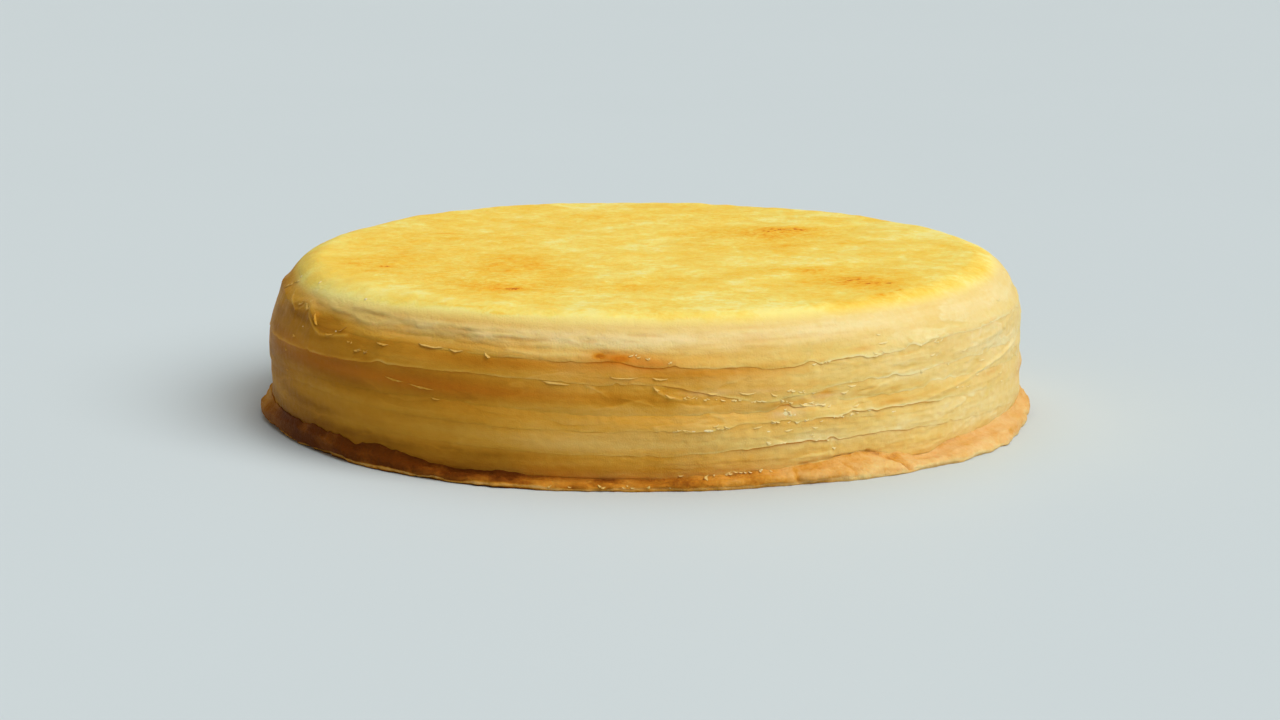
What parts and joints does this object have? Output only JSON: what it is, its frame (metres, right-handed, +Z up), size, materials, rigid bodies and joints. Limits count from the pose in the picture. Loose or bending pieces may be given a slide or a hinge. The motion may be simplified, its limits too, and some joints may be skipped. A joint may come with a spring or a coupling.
{
  "type": "crepe cake",
  "caption": "Whole round cake of thin crepes stacked flat, with a rounded shoulder, drooping wavy edges that overlap on its side, a browned top and a frilled foot.",
  "frame": {"origin": "centre of the flat underside, on the surface that the cake stands on", "axes": "+Z up through the middle of the cake, -Y to the side that is shown in front, +X to the right of that side"},
  "size_m": [0.237, 0.2357, 0.049],
  "materials": {
    "top_crepe": "cooked egg batter, yellow with golden brown patches, moist satin",
    "layers": "crepe edges pressed together with a little cream, pale yellow to amber, moist satin",
    "base_crepe": "well browned crepe, amber to dark brown, satin",
    "cream": "smears of whipped cream, soft and slightly glossy"
  },
  "bodies": {
    "root": {"base_crepe": "base_crepe", "first_layer": "layers", "second_layer": "layers", "third_layer": "layers", "fourth_layer": "layers", "fifth_layer": "layers", "top_crepe": "top_crepe"}
  },
  "joints": []
}
